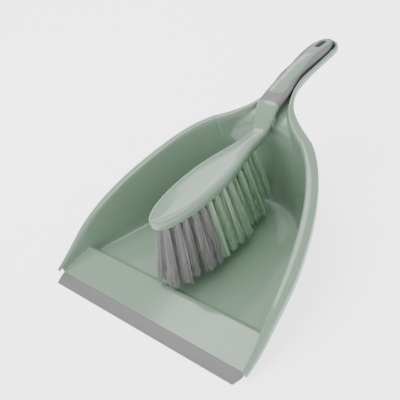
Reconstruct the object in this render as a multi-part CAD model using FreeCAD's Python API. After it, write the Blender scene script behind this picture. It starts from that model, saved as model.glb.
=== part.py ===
import FreeCAD, Part
import math
import os

from FreeCAD import Vector

# A dust pan with a hand brush clipped into its handle.
#
# Frame: +Z up, the pan's mouth faces -Y and its handle points to +Y. The origin is on the floor,
# under the middle of the whole set. Along the object, a place is given as its distance d back from
# the front edge of the rubber lip, so y = d - LENGTH / 2.

# ---- driving dimensions, in millimetres and degrees ------------------------------------------------

LENGTH = 331.0              # front edge of the lip to the end of the pan's handle
WALL = 2.0                  # wall of the pan moulding

# bowl of the pan
MOUTH_WIDTH = 232.0         # between the inner edges of the rim, if the sides ran on to the lip
BOWL_LENGTH = 213.0         # lip to the back of the bowl at its rim
BOWL_FULLNESS = 0.44        # 0.5 makes the rim's plan an ellipse, less makes it squarer
BACK_RISE = 8.0             # back of the bowl's rim above the top of the brush head
FRONT_GAP = 9.5             # the side walls start this far behind the front edge of the lip
FRONT_HEIGHT = 3.5          # top of the side walls at their front tips
WALL_DRAFT = 11.0           # lean of the bowl's wall
FLOOR_FILLET = 10.0         # inside radius between floor and wall
HEEL_RISE = 2.3             # the walls in front of the heel stand this far off the floor
HEEL_SLOPE = 4.7            # length over which the walls come down to the floor

# ramp and lip
RAMP_START = 12.5           # back edge of the rubber lip
RIDGE_AT = 45.6             # top edge of the ramp
RIDGE_HEIGHT = 10.0
RIDGE_FLAT = 1.4
RAMP_BACK_LENGTH = 7.6      # from the ridge's flat to the foot of the ramp's back face
FOOT_RIB_AT = 34.0          # cross rib under the ramp
FOOT_RIB_LAP = 1.5          # the rib's ends stand out past the walls by this much
LIP_INSET = 4.0             # the lip's front corners, inside the width of the mouth
LIP_FLARE = 2.6             # the lip widens by this much on each side
LIP_FLARE_LENGTH = 8.5
LIP_EDGE = 0.9              # thickness of the lip's front edge
LIP_BACK = 3.4              # thickness of the lip's back edge
TONGUE_LENGTH = 7.5         # tongue of the ramp that the lip is moulded on to
TONGUE = 1.0
ROOT_STEP = 0.5             # length over which the ramp thickens from its tongue

# rim
RIM_WIDTH = 11.0            # rolled rim, inner edge to outer edge, along the bowl
RIM_WIDTH_FRONT = 3.0
RIM_DROP = 7.4              # depth of the rim's turned-down edge
RIM_DROP_FRONT = 3.0
RIM_DROP_CRADLE = 4.8

# pan handle, an open cradle for the brush handle
CRADLE_LEDGE = 2.6          # inner edge to outer edge of the cradle's thin rim
CRADLE_DRAFT = 8.0          # lean of the cradle's sides
CRADLE_CORNER = 5.0         # radius between the cradle's floor and its sides
NECK_LENGTH = 37.0          # the bowl's outline runs into the cradle over this length
NECK_SHARE = 0.92           # share of the bowl's length at which the neck begins
CRADLE_GAP = 1.0            # clearance between brush handle and cradle
TIP_GAP = 0.6               # clearance between the brush's tip and the end of the cradle
POST_SETBACK = 14.5         # two posts grip the neck this far behind its root
POST_LENGTH = 6.0
POST_THICKNESS = 2.0
POST_GAP = 0.5
POST_ROUND = 0.35           # radius of the posts' upright edges, as a share of their thickness
POST_RISE = 9.5             # top of the posts above the top of the brush head

# brush head
HEAD_LENGTH = 143.0         # to the root of the neck
HEAD_SETBACK = 18.5         # root of the neck in front of the back of the bowl
HEAD_THICKNESS = 11.0
HEAD_HALF_WIDTH = 20.6
HEAD_EDGE = 2.0             # radius of the head's top edge

# brush handle
HANDLE_RISE = 29.5          # top edge of the cradle above the top of the brush head
HANDLE_HALF_WIDTH = 10.8
TIP_ROUND = 22.0            # length over which the handle rounds off to its tip
NECK_TO_SEAM = 26.5         # root of the neck to the front edge of the rubber grip
SKIN = 1.6                  # thickness of the rubber grip
DIMPLE_SETBACK = 25.0       # thumb dimple, behind the seam
DIMPLE_RADIUS = 34.0
DIMPLE_DEPTH = 0.9
SLOT_TO_TIP = 15.4          # middle of the hanging slot to the brush's tip
SLOT_LENGTH = 16.0
SLOT_WIDTH = 6.5
WINDOW_START = 0.09         # ends of the green window, as shares of the way from seam to tip
WINDOW_FULL_FROM = 0.137    # its sides are free curves between these two shares
WINDOW_FULL_TO = 0.92
WINDOW_END = 0.975
SIDE_ROUNDNESS = 0.8        # 1 makes the handle's sections ellipses, less makes them squarer

# tufts
TUFT_PITCH = 9.5            # along the head
TUFT_ROW_PITCH = 8.5        # across the head
TUFT_FIRST = 9.5            # front of the head to the first station
TUFT_LAST = 8.0             # least distance from the last station to the root of the neck
TUFT_EDGE = 3.2             # least plastic between a tuft hole and the side of the head
GREY_STATIONS = 5
TUFT_LENGTH = 61.4          # standing out of the head
TIP_CLEARANCE = 0.6         # tuft tips above the ramp's ridge
FAN_FRONT = -12.0           # lean of the first station, forwards
FAN_BACK = 4.0              # lean of the last station, backwards
TUFT_FLARE = 10.0           # lean of the outermost rows
HOLE_RADIUS = 2.25
HOLE_DEPTH = 7.2
TUFT_CLEARANCE = 0.05
TUFT_SPREAD = 1.4           # a tuft's tip is wider than its root by this much on each side
ANCHOR_THICKNESS = 0.4
ANCHOR_HEIGHT = 1.8
ANCHOR_BITE = 0.3           # the anchor cuts into the wall of its hole on each side
ANCHOR_COVER = 0.6          # bristle above the anchor, in the fold

# ---- sizes that follow ------------------------------------------------------------------------------

LIP_FRONT_WIDTH = MOUTH_WIDTH - 2 * LIP_INSET
HEEL_AT = RIDGE_AT + RIDGE_FLAT + RAMP_BACK_LENGTH
HEAD_BOTTOM = RIDGE_HEIGHT + TIP_CLEARANCE + TUFT_LENGTH
HEAD_TOP = HEAD_BOTTOM + HEAD_THICKNESS
BOWL_HEIGHT = HEAD_TOP + BACK_RISE
CRADLE_HEIGHT = HEAD_TOP + HANDLE_RISE
CRADLE_HALF_WIDTH = HANDLE_HALF_WIDTH + CRADLE_GAP
CRADLE_START = BOWL_LENGTH * NECK_SHARE
CRADLE_END = BOWL_LENGTH + NECK_LENGTH
NECK_ROOT = BOWL_LENGTH - HEAD_SETBACK
HEAD_FRONT = NECK_ROOT - HEAD_LENGTH
SEAM_AT = NECK_ROOT + NECK_TO_SEAM
BRUSH_TIP = LENGTH - CRADLE_LEDGE - TIP_GAP
SLOT_AT = BRUSH_TIP - SLOT_TO_TIP
POST_AT = NECK_ROOT + POST_SETBACK
POST_TOP = HEAD_TOP + POST_RISE
TUFT_STATIONS = 1 + int((HEAD_LENGTH - TUFT_FIRST - TUFT_LAST) / TUFT_PITCH)

# ---- outlines and profiles --------------------------------------------------------------------------

ABOVE = 200.0               # well above the object
BESIDE = 200.0              # well outside the object
SAMPLES = 16                # places worked out along a curved outline
NECK_SECTIONS = 8
CRADLE_SECTIONS = 5
HANDLE_SECTIONS = 12
TIP_TURNS = (20, 38, 53, 66, 76, 83)    # sections round the brush's tip, in degrees


def at(x, d, z):
    """The point x across, d behind the lip's front edge and z up."""
    return Vector(x, d - LENGTH / 2, z)


def smooth(knots):
    """A function through (place, value) knots that never overshoots them."""
    places = [k[0] for k in knots]
    values = [k[1] for k in knots]
    steps = [b - a for a, b in zip(places, places[1:])]
    slopes = [(q - p) / h for p, q, h in zip(values, values[1:], steps)]
    tangents = [slopes[0]]
    for left, right in zip(slopes, slopes[1:]):
        tangents.append(2 * left * right / (left + right) if left * right > 0 else 0.0)
    tangents.append(slopes[-1])

    def value(place):
        i = 0
        while i < len(steps) - 1 and place > places[i + 1]:
            i += 1
        u = (place - places[i]) / steps[i]
        if u < 0:
            return values[0] + tangents[0] * (place - places[0])
        if u > 1:
            return values[-1] + tangents[-1] * (place - places[-1])
        rise = values[i + 1] - values[i]
        bend = steps[i] * (tangents[i] * (1 - u) ** 2 * u - tangents[i + 1] * u ** 2 * (1 - u))
        return values[i] + rise * (3 * u * u - 2 * u ** 3) + bend

    return value


def rim_rise(share):
    """Height at a share of the climb from the front tips to the back of the bowl."""
    return FRONT_HEIGHT + share * (BOWL_HEIGHT - FRONT_HEIGHT)


def cradle_rise(share):
    """Height at a share of the climb from the back of the bowl to the end of the cradle."""
    return BOWL_HEIGHT + share * (CRADLE_HEIGHT - BOWL_HEIGHT)


def grip_at(share):
    """The place at a share of the way from the grip's seam to the brush's tip."""
    return SEAM_AT + share * (BRUSH_TIP - SEAM_AT)


def cradle_at(share):
    """The place at a share of the way from the end of the neck to the end of the pan."""
    return CRADLE_END + share * (LENGTH - CRADLE_END)


rim_height = smooth([
    (0.0, FRONT_HEIGHT),
    (BOWL_LENGTH * 0.12, rim_rise(0.14)),
    (BOWL_LENGTH * 0.26, rim_rise(0.34)),
    (BOWL_LENGTH * 0.47, rim_rise(0.545)),
    (BOWL_LENGTH * 0.70, rim_rise(0.74)),
    (BOWL_LENGTH * 0.86, rim_rise(0.89)),
    (BOWL_LENGTH, BOWL_HEIGHT),
    (BOWL_LENGTH + 0.6 * NECK_LENGTH, cradle_rise(0.35)),
    (CRADLE_END, cradle_rise(0.68)),
    (cradle_at(0.15), cradle_rise(0.84)),
    (cradle_at(0.45), cradle_rise(0.90)),
    (LENGTH, CRADLE_HEIGHT),
])

rim_width = smooth([
    (0.0, RIM_WIDTH_FRONT),
    (BOWL_LENGTH * 0.18, 0.5 * (RIM_WIDTH_FRONT + RIM_WIDTH)),
    (BOWL_LENGTH * 0.45, RIM_WIDTH),
    (CRADLE_START, RIM_WIDTH),
    (CRADLE_END, CRADLE_LEDGE),
    (LENGTH, CRADLE_LEDGE),
])

rim_drop = smooth([
    (0.0, RIM_DROP_FRONT),
    (BOWL_LENGTH * 0.3, RIM_DROP),
    (CRADLE_START, RIM_DROP),
    (cradle_at(0.1), RIM_DROP_CRADLE),
    (LENGTH, RIM_DROP_CRADLE),
])

# The brush's neck and handle: half-width, height of the widest line, and what lies above and below it.
HANDLE_START = NECK_ROOT - 12.0

handle_half = smooth([
    (HANDLE_START, 0.735 * HANDLE_HALF_WIDTH),
    (NECK_ROOT + 6.0, 0.75 * HANDLE_HALF_WIDTH),
    (NECK_ROOT + 18.0, 1.04 * HANDLE_HALF_WIDTH),
    (grip_at(0.045), 1.08 * HANDLE_HALF_WIDTH),
    (grip_at(0.23), 1.02 * HANDLE_HALF_WIDTH),
    (grip_at(0.43), 0.88 * HANDLE_HALF_WIDTH),
    (grip_at(0.74), HANDLE_HALF_WIDTH),
    (BRUSH_TIP, HANDLE_HALF_WIDTH),
])

handle_edge = smooth([
    (HANDLE_START, HEAD_TOP - 5.5),
    (NECK_ROOT + 2.0, HEAD_TOP - 4.5),
    (NECK_ROOT + 11.0, HEAD_TOP + 0.10 * HANDLE_RISE),
    (NECK_ROOT + 20.0, HEAD_TOP + 0.42 * HANDLE_RISE),
    (grip_at(0.01), HEAD_TOP + 0.61 * HANDLE_RISE),
    (grip_at(0.18), HEAD_TOP + 0.78 * HANDLE_RISE),
    (grip_at(0.37), HEAD_TOP + 0.92 * HANDLE_RISE),
    (grip_at(0.55), HEAD_TOP + 1.03 * HANDLE_RISE),
    (grip_at(0.73), HEAD_TOP + 1.08 * HANDLE_RISE),
    (BRUSH_TIP, HEAD_TOP + 1.07 * HANDLE_RISE),
])

handle_crown = smooth([
    (HANDLE_START, 5.0),
    (NECK_ROOT + 12.0, 4.4),
    (grip_at(0.01), 3.6),
    (grip_at(0.22), 2.8),
    (BRUSH_TIP, 2.7),
])

handle_belly = smooth([
    (HANDLE_START, 6.0),
    (NECK_ROOT + 2.0, 6.3),
    (NECK_ROOT + 12.0, 8.0),
    (grip_at(0.01), 10.0),
    (BRUSH_TIP, 10.4),
])

# The green window in the rubber grip, as half-widths along the handle.
window_half = smooth([
    (grip_at(WINDOW_FULL_FROM), 6.6),
    (grip_at(0.20), 7.6),
    (grip_at(0.283), 5.6),
    (grip_at(0.438), 7.7),
    (grip_at(0.603), 5.2),
    (grip_at(0.84), 6.4),
    (grip_at(WINDOW_FULL_TO), 5.6),
])


def handle_top(d):
    """Height of the handle's top along its middle."""
    return handle_edge(d) + handle_crown(d)


def handle_under(d):
    """Height of the handle's underside along its middle."""
    return handle_edge(d) - handle_belly(d)


def bowl_half(d):
    """Half-width of the bowl's plan between the inner edges of its rim."""
    return MOUTH_WIDTH / 2 * max(0.0, 1 - (d / BOWL_LENGTH) ** 2) ** BOWL_FULLNESS


def neck_half(d):
    """Half-width of the cradle's plan, which flares out to the bowl's at CRADLE_START."""
    if d < CRADLE_START:
        return bowl_half(CRADLE_START) - (CRADLE_START - d)
    u = min(1.0, (d - CRADLE_START) / (CRADLE_END - CRADLE_START))
    return CRADLE_HALF_WIDTH + (bowl_half(CRADLE_START) - CRADLE_HALF_WIDTH) * (1 - u) ** 2.3


def spline(points):
    """An edge through the points."""
    curve = Part.BSplineCurve()
    curve.interpolate(points)
    return curve.toShape()


def closed_outline(right, z):
    """A flat wire at height z from the (x, d) points of its right side, front to back.

    The left side mirrors them, and a straight line closes the front.
    """
    left = [(-x, d) for x, d in reversed(right) if x > 1e-6]
    points = [at(x, d, z) for x, d in right + left]
    return Part.Wire([spline(points), Part.makeLine(points[-1], points[0])])


def bowl_outline(z, outward):
    """The bowl's plan at height z, moved outward from the inner face of its wall."""
    right = []
    for i in range(SAMPLES + 1):
        turn = math.radians(90.0 * i / SAMPLES)
        x = MOUTH_WIDTH / 2 * math.cos(turn) ** (2 * BOWL_FULLNESS)
        d = BOWL_LENGTH * math.sin(turn)
        across = math.cos(turn) / MOUTH_WIDTH * 2
        along = math.sin(turn) / BOWL_LENGTH
        size = math.hypot(across, along)
        move = outward + (z - rim_height(d)) * math.tan(math.radians(WALL_DRAFT))
        if i == SAMPLES:
            x = across = 0.0
        right.append((x + move * across / size, d + move * along / size))
    return closed_outline(right, z)


def bowl_solid(bottom, outward):
    """The bowl's space from the height `bottom` up, moved outward from the wall's inner face."""
    outlines = [bowl_outline(bottom, outward), bowl_outline(CRADLE_HEIGHT + 10.0, outward)]
    return Part.makeLoft(outlines, True, True)


def cradle_floor(d):
    """Top of the cradle's floor, which follows the underside of the brush's handle."""
    return handle_under(d) - CRADLE_GAP


def trough_section(d, outward):
    """A closed upright section of the cradle, moved outward from the inner face of its wall."""
    lean = math.radians(CRADLE_DRAFT)
    floor = cradle_floor(d) - outward
    half = neck_half(d) + outward
    depth = rim_height(d) - cradle_floor(d)
    flared = CRADLE_CORNER + 0.5 * max(0.0, neck_half(d) - CRADLE_HALF_WIDTH)
    corner = min(flared, 1.1 * depth) + outward
    half_turn = math.radians(45.0 - CRADLE_DRAFT / 2)
    reach = corner * math.tan(half_turn)
    foot = half - (rim_height(d) - floor) * math.tan(lean)
    flat = foot - reach
    bend = (flat + corner * math.sin(half_turn), floor + corner * (1 - math.cos(half_turn)))
    side = (foot + reach * math.sin(lean), floor + reach * math.cos(lean))
    rise = 15.0
    rim = (half + rise * math.tan(lean), rim_height(d) + rise)
    left = Part.Arc(at(-side[0], d, side[1]), at(-bend[0], d, bend[1]), at(-flat, d, floor))
    right = Part.Arc(at(flat, d, floor), at(bend[0], d, bend[1]), at(side[0], d, side[1]))
    return Part.Wire([
        Part.makeLine(at(-rim[0], d, rim[1]), at(-side[0], d, side[1])),
        left.toShape(),
        Part.makeLine(at(-flat, d, floor), at(flat, d, floor)),
        right.toShape(),
        Part.makeLine(at(side[0], d, side[1]), at(rim[0], d, rim[1])),
        Part.makeLine(at(rim[0], d, rim[1]), at(-rim[0], d, rim[1])),
    ])


def rounded_plan(half, end):
    """A tall block of that half-width whose far end is a half circle that stops at `end`."""
    start = CRADLE_START - 20.0
    edges = [
        Part.makeLine(at(-BESIDE, start, 0), at(BESIDE, start, 0)),
        Part.makeLine(at(BESIDE, start, 0), at(BESIDE, CRADLE_END, 0)),
        Part.makeLine(at(BESIDE, CRADLE_END, 0), at(half, CRADLE_END, 0)),
        Part.makeLine(at(half, CRADLE_END, 0), at(half, end - half, 0)),
        Part.Arc(at(half, end - half, 0), at(0, end, 0), at(-half, end - half, 0)).toShape(),
        Part.makeLine(at(-half, end - half, 0), at(-half, CRADLE_END, 0)),
        Part.makeLine(at(-half, CRADLE_END, 0), at(-BESIDE, CRADLE_END, 0)),
        Part.makeLine(at(-BESIDE, CRADLE_END, 0), at(-BESIDE, start, 0)),
    ]
    return Part.Face(Part.Wire(edges)).extrude(Vector(0, 0, ABOVE))


def cradle_solid(outward):
    """The cradle's space, moved outward from the inner face of its wall."""
    flare = CRADLE_END - CRADLE_START
    neck = [CRADLE_START + flare * i / NECK_SECTIONS for i in range(NECK_SECTIONS + 1)]
    grip = [cradle_at((i + 1) / CRADLE_SECTIONS) for i in range(CRADLE_SECTIONS)]
    trough = Part.makeLoft([trough_section(d, outward) for d in neck + grip], True, False)
    mouth = [CRADLE_START - 12.0, CRADLE_START]
    entry = Part.makeLoft([trough_section(d, outward) for d in mouth], True, True)
    plan = rounded_plan(CRADLE_HALF_WIDTH + outward, LENGTH - CRADLE_LEDGE + outward)
    return trough.common(plan).fuse(entry)


def region_above(profile, start, end, drop=0.0):
    """Everything above the side profile, moved down by `drop`."""
    count = 3 * SAMPLES
    places = [start + (end - start) * i / count for i in range(count + 1)]
    points = [at(-BESIDE, d, profile(d) - drop) for d in places]
    corners = [at(-BESIDE, end, ABOVE), at(-BESIDE, start, ABOVE)]
    wire = Part.Wire([
        spline(points),
        Part.makeLine(points[-1], corners[0]),
        Part.makeLine(corners[0], corners[1]),
        Part.makeLine(corners[1], points[0]),
    ])
    return Part.Face(wire).extrude(Vector(2 * BESIDE, 0, 0))


def side_block(points, half):
    """A block with that (d, z) side view, as wide as twice `half`."""
    corners = [at(-half, d, z) for d, z in points]
    return Part.Face(Part.makePolygon(corners + corners[:1])).extrude(Vector(2 * half, 0, 0))


def box(x, d, z):
    """A block from three (low, high) pairs."""
    low = at(x[0], d[0], z[0])
    return Part.makeBox(x[1] - x[0], d[1] - d[0], z[1] - z[0], low)


# ---- pan ---------------------------------------------------------------------------------------------


def rim_path():
    """(x, d, nx, nd) along the right side of the rim's inner edge, with its outward direction."""
    turns = [math.radians(90.0 * i / SAMPLES) for i in range(1, SAMPLES)]
    places = [FRONT_GAP] + [BOWL_LENGTH * math.sin(turn) for turn in turns]
    places = [d for d in places if d < CRADLE_START - 5.0]
    places += [CRADLE_START + (CRADLE_END - CRADLE_START) * i / 6 for i in range(7)]
    end = LENGTH - CRADLE_LEDGE - CRADLE_HALF_WIDTH
    places += [0.5 * (CRADLE_END + end), end]
    path = []
    for d in places:
        half = bowl_half if d < CRADLE_START else neck_half
        step = 0.05
        slope = (half(d + step) - half(d - step)) / (2 * step)
        if d == CRADLE_START:
            slope = (half(d + step) - half(d)) / step
        size = math.hypot(1.0, slope)
        path.append((half(d), d, 1.0 / size, -slope / size))
    return path


def rim_plan(inset):
    """The plan of the whole rim from its outer edge, moved in by `inset`, as a tall block."""
    right = []
    for x, d, nx, nd in rim_path():
        out = rim_width(d) - inset
        right.append(at(x + nx * out, d + nd * out, 0))
    left = [at(-p.x, p.y + LENGTH / 2, 0) for p in reversed(right)]
    tip = at(0, LENGTH - inset, 0)
    wire = Part.Wire([
        spline(right),
        Part.Arc(right[-1], tip, left[0]).toShape(),
        spline(left),
        Part.makeLine(left[-1], right[0]),
    ])
    return Part.Face(wire).extrude(Vector(0, 0, ABOVE))


def build_rim(above):
    """The rim that turns outward and down all round the bowl and the cradle."""
    start = -BESIDE / 2
    end = LENGTH + BESIDE / 2
    top = rim_plan(0.0).cut(above)
    below = rim_plan(0.0).cut(region_above(lambda d: rim_height(d) - rim_drop(d), start, end))
    hollow = rim_plan(WALL).cut(region_above(rim_height, start, end, WALL))
    return top.cut(below).cut(hollow)


def build_ramp():
    """The sloping plate behind the lip, with its tongue, ridge, back face and cross rib."""
    slope = (RIDGE_HEIGHT - LIP_BACK) / (RIDGE_AT - RAMP_START)
    back = RIDGE_AT + RIDGE_FLAT
    tongue = (LIP_BACK - TONGUE) / 2
    root = RAMP_START + ROOT_STEP
    inner_foot = HEEL_AT - 0.6 * WALL
    inner_ridge = back - 0.4 * WALL
    plate = side_block([
        (RAMP_START - TONGUE_LENGTH, tongue),
        (RAMP_START - TONGUE_LENGTH, tongue + TONGUE),
        (RAMP_START, tongue + TONGUE),
        (RAMP_START, LIP_BACK),
        (RIDGE_AT, RIDGE_HEIGHT),
        (back, RIDGE_HEIGHT),
        (HEEL_AT, WALL),
        (HEEL_AT + 2 * WALL, WALL),
        (HEEL_AT + 2 * WALL, 0.0),
        (inner_foot, 0.0),
        (inner_ridge, RIDGE_HEIGHT - WALL),
        (RIDGE_AT, RIDGE_HEIGHT - WALL),
        (root, LIP_BACK - WALL + slope * ROOT_STEP),
        (RAMP_START, tongue),
    ], MOUTH_WIDTH / 2 + WALL)
    rib_top = LIP_BACK + slope * (FOOT_RIB_AT - RAMP_START) - WALL / 2
    rib_half = bowl_half(FOOT_RIB_AT) - FOOT_RIB_LAP
    rib = box((-rib_half, rib_half), (FOOT_RIB_AT - WALL / 2, FOOT_RIB_AT + WALL / 2), (0.0, rib_top))
    return plate, rib


def build_posts():
    """Two posts that stand in the cradle's mouth, one each side of the brush's neck."""
    posts = []
    gap = max(handle_half(POST_AT), handle_half(POST_AT + POST_LENGTH)) + POST_GAP
    bottom = cradle_floor(POST_AT) - WALL / 2
    for side in (-1, 1):
        low = min(side * gap, side * (gap + POST_THICKNESS))
        post = box((low, low + POST_THICKNESS), (POST_AT, POST_AT + POST_LENGTH), (bottom, POST_TOP))
        tall = [e for e in post.Edges if abs(e.Length - (POST_TOP - bottom)) < 1e-6]
        posts.append(post.makeFillet(POST_ROUND * POST_THICKNESS, tall))
    return posts


def build_pan():
    """The pan: ramp, floor, bowl, rolled rim and cradle handle in one moulding."""
    start = -BESIDE / 2
    end = LENGTH + BESIDE / 2
    above = region_above(rim_height, start, end)
    outer = bowl_solid(0.0, WALL)
    inner = bowl_solid(WALL, 0.0)
    floor_edges = [e for e in inner.Edges if e.BoundBox.ZMax < WALL + 0.01 and e.BoundBox.YLength > 1.0]
    inner = inner.makeFillet(FLOOR_FILLET, floor_edges)
    cradle_outer = cradle_solid(WALL)
    cradle_inner = cradle_solid(0.0)
    front = box((-BESIDE, BESIDE), (-BESIDE, FRONT_GAP), (-10.0, ABOVE))
    under_ramp = side_block([
        (-20.0, -1.0),
        (-20.0, HEEL_RISE),
        (HEEL_AT - HEEL_SLOPE, HEEL_RISE),
        (HEEL_AT, -1.0),
    ], BESIDE)
    plate, rib = build_ramp()
    hollow_top = 3 * WALL
    walls = outer.fuse(cradle_outer).cut(above)
    rim = build_rim(above)
    shell = walls.fuse(rim)
    shell = shell.cut(inner).cut(cradle_inner).cut(front).cut(under_ramp)
    floor_hollow = side_block([
        (-20.0, -1.0),
        (-20.0, hollow_top),
        (HEEL_AT, hollow_top),
        (HEEL_AT, -1.0),
    ], BESIDE).common(bowl_solid(-1.0, 0.0))
    shell = shell.cut(floor_hollow)
    between_walls = bowl_solid(-1.0, WALL / 2)
    tongue_part = plate.common(front)
    tongue_half = LIP_FRONT_WIDTH / 2 - 2 * WALL
    tongue_part = tongue_part.common(box((-tongue_half, tongue_half), (-BESIDE, BESIDE), (-10.0, ABOVE)))
    ramp = plate.cut(front).common(between_walls)
    pieces = [ramp, tongue_part, rib] + build_posts()
    pan = shell.multiFuse(pieces)
    return pan.removeSplitter()


def build_lip(pan):
    """The rubber strip moulded on to the tongue at the front of the ramp."""
    strip = side_block([
        (0.0, 0.0),
        (0.0, LIP_EDGE),
        (RAMP_START, LIP_BACK),
        (RAMP_START, 0.0),
    ], BESIDE)
    narrow = LIP_FRONT_WIDTH / 2
    wide = narrow + LIP_FLARE
    plan = [
        (narrow, 0.0),
        (wide, LIP_FLARE_LENGTH),
        (wide, RAMP_START),
        (-wide, RAMP_START),
        (-wide, LIP_FLARE_LENGTH),
        (-narrow, 0.0),
    ]
    corners = [at(x, d, -1.0) for x, d in plan]
    prism = Part.Face(Part.makePolygon(corners + corners[:1])).extrude(Vector(0, 0, 20.0))
    return strip.common(prism).cut(pan)


# ---- brush -------------------------------------------------------------------------------------------


def head_half(u):
    """Half-width of the head at the share u of its length, a long drop that narrows to the neck."""
    nose = (1 - (1 - u / 0.44) ** 2) ** 0.58 if u < 0.44 else 1.0
    tail = 1.0 if u < 0.44 else 0.42 + 0.58 * math.cos(math.pi / 2 * (u - 0.44) / 0.56) ** 1.15
    return HEAD_HALF_WIDTH * nose * tail


def head_outline(z):
    """The plan of the head at height z, closed across the root of the neck."""
    shares = [0.0, 0.012, 0.05] + [0.11 + 0.89 * i / SAMPLES for i in range(SAMPLES + 1)]
    right = [(head_half(u), HEAD_FRONT + HEAD_LENGTH * u) for u in shares]
    left = [(-x, d) for x, d in reversed(right) if x > 1e-6]
    points = [at(x, d, z) for x, d in left + right]
    return Part.Wire([spline(points), Part.makeLine(points[-1], points[0])])


def handle_section(d, inset):
    """A closed upright section of the neck and handle, moved in by `inset`."""
    tip = BRUSH_TIP - inset
    start = tip - TIP_ROUND
    k = 1.0 if d <= start else math.sqrt(max(0.0, 1 - ((d - start) / TIP_ROUND) ** 2))
    half = (handle_half(d) - inset) * k
    crown = (handle_top(d) - handle_edge(d) - inset) * k
    belly = (handle_edge(d) - handle_under(d) - inset) * k
    points = []
    for i in range(SAMPLES):
        turn = 2 * math.pi * i / SAMPLES
        c = math.cos(turn)
        s = math.sin(turn)
        x = half * math.copysign(abs(c) ** SIDE_ROUNDNESS, c)
        lift = (crown if s > 0 else belly) * math.copysign(abs(s) ** SIDE_ROUNDNESS, s)
        points.append(at(x, d, handle_edge(d) + lift))
    curve = Part.BSplineCurve()
    curve.interpolate(Points=points, PeriodicFlag=True)
    return Part.Wire([curve.toShape()])


def handle_solid(start, inset):
    """The neck and handle from `start` to the tip, moved in by `inset`."""
    tip = BRUSH_TIP - inset
    body = tip - TIP_ROUND
    places = [start + (body - start) * i / HANDLE_SECTIONS for i in range(HANDLE_SECTIONS + 1)]
    places += [body + TIP_ROUND * math.sin(math.radians(a)) for a in TIP_TURNS]
    return Part.makeLoft([handle_section(d, inset) for d in places], True, False)


def build_handle():
    """The whole neck and handle with its thumb dimple and hanging slot."""
    handle = handle_solid(HANDLE_START, 0.0)
    dimple_at = SEAM_AT + DIMPLE_SETBACK
    low = handle_top(dimple_at) - DIMPLE_DEPTH
    ball = Part.makeSphere(DIMPLE_RADIUS, at(0, dimple_at, low + DIMPLE_RADIUS))
    half = SLOT_WIDTH / 2
    run = SLOT_LENGTH / 2 - half
    slot = box((-half, half), (SLOT_AT - run, SLOT_AT + run), (0.0, ABOVE))
    for end in (-run, run):
        slot = slot.fuse(Part.makeCylinder(half, ABOVE, at(0, SLOT_AT + end, 0)))
    return handle.cut(ball).cut(slot)


def build_grip(handle):
    """The rubber skin of the handle, open on top where the green window shows."""
    core = handle_solid(SEAM_AT - 10.0, SKIN)
    behind = box((-BESIDE, BESIDE), (SEAM_AT, LENGTH + BESIDE), (0.0, ABOVE))
    free = WINDOW_FULL_TO - WINDOW_FULL_FROM
    places = [grip_at(WINDOW_FULL_FROM + free * i / SAMPLES) for i in range(SAMPLES + 1)]
    sides = [(window_half(d), d) for d in places]
    right = [(0.0, grip_at(WINDOW_START))] + sides + [(0.0, grip_at(WINDOW_END))]
    left = [(-x, d) for x, d in reversed(right[1:-1])]
    points = [at(x, d, 0) for x, d in right + left]
    curve = Part.BSplineCurve()
    curve.interpolate(Points=points, PeriodicFlag=True)
    window = Part.Face(Part.Wire([curve.toShape()])).extrude(Vector(0, 0, ABOVE))
    middle = region_above(lambda d: 0.5 * (handle_edge(d) + handle_under(d)), SEAM_AT - 20.0, LENGTH + 20.0)
    return handle.common(behind).cut(core).cut(window.common(middle))


def tuft_layout():
    """(name, root, direction, colour) of every tuft, station by station from the front."""
    layout = []
    span = TUFT_PITCH * (TUFT_STATIONS - 1)
    for station in range(TUFT_STATIONS):
        along = TUFT_FIRST + TUFT_PITCH * station
        room = head_half(along / HEAD_LENGTH) - TUFT_EDGE - HOLE_RADIUS
        rows = 1 + int(max(0.0, 2 * room) / TUFT_ROW_PITCH)
        colour = "grey" if station < GREY_STATIONS else "green"
        fan = FAN_FRONT + (FAN_BACK - FAN_FRONT) * TUFT_PITCH * station / span
        for row in range(rows):
            x = TUFT_ROW_PITCH * (row - (rows - 1) / 2)
            flare = TUFT_FLARE * x / (1.5 * TUFT_ROW_PITCH)
            root = at(x, HEAD_FRONT + along, HEAD_BOTTOM)
            direction = Vector(math.tan(math.radians(flare)), math.tan(math.radians(fan)), -1.0)
            direction.normalize()
            name = "tuft_%s_%02d_%s" % (colour, station + 1, "abcdef"[row])
            layout.append((name, root, direction))
    return layout


def build_tuft(root, direction):
    """One tuft: a straight root in its hole and a brush that widens to its trimmed tip."""
    radius = HOLE_RADIUS - TUFT_CLEARANCE
    stem = HOLE_DEPTH - TUFT_CLEARANCE
    profile = [(0, stem), (radius, stem), (radius, 0), (radius + TUFT_SPREAD, -TUFT_LENGTH), (0, -TUFT_LENGTH)]
    corners = [Vector(r, 0, z) for r, z in profile]
    face = Part.Face(Part.makePolygon(corners + corners[:1]))
    tuft = face.revolve(Vector(0, 0, 0), Vector(0, 0, 1), 360)
    turn = FreeCAD.Rotation(Vector(0, 0, -1), direction)
    tuft.Placement = FreeCAD.Placement(root, turn)
    return tuft


def build_hole(root, direction):
    """The hole that a tuft stands in."""
    past = 3.0
    return Part.makeCylinder(HOLE_RADIUS, HOLE_DEPTH + past, root + direction * past, direction * -1)


def build_anchor(root, direction):
    """The flat steel anchor that the tuft is folded over, across the head."""
    width = 2 * (HOLE_RADIUS + ANCHOR_BITE)
    top = HOLE_DEPTH - TUFT_CLEARANCE - ANCHOR_COVER
    low = Vector(-width / 2, -ANCHOR_THICKNESS / 2, top - ANCHOR_HEIGHT)
    plate = Part.makeBox(width, ANCHOR_THICKNESS, ANCHOR_HEIGHT, low)
    turn = FreeCAD.Rotation(Vector(0, 0, -1), direction)
    plate.Placement = FreeCAD.Placement(root, turn)
    return plate


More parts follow.
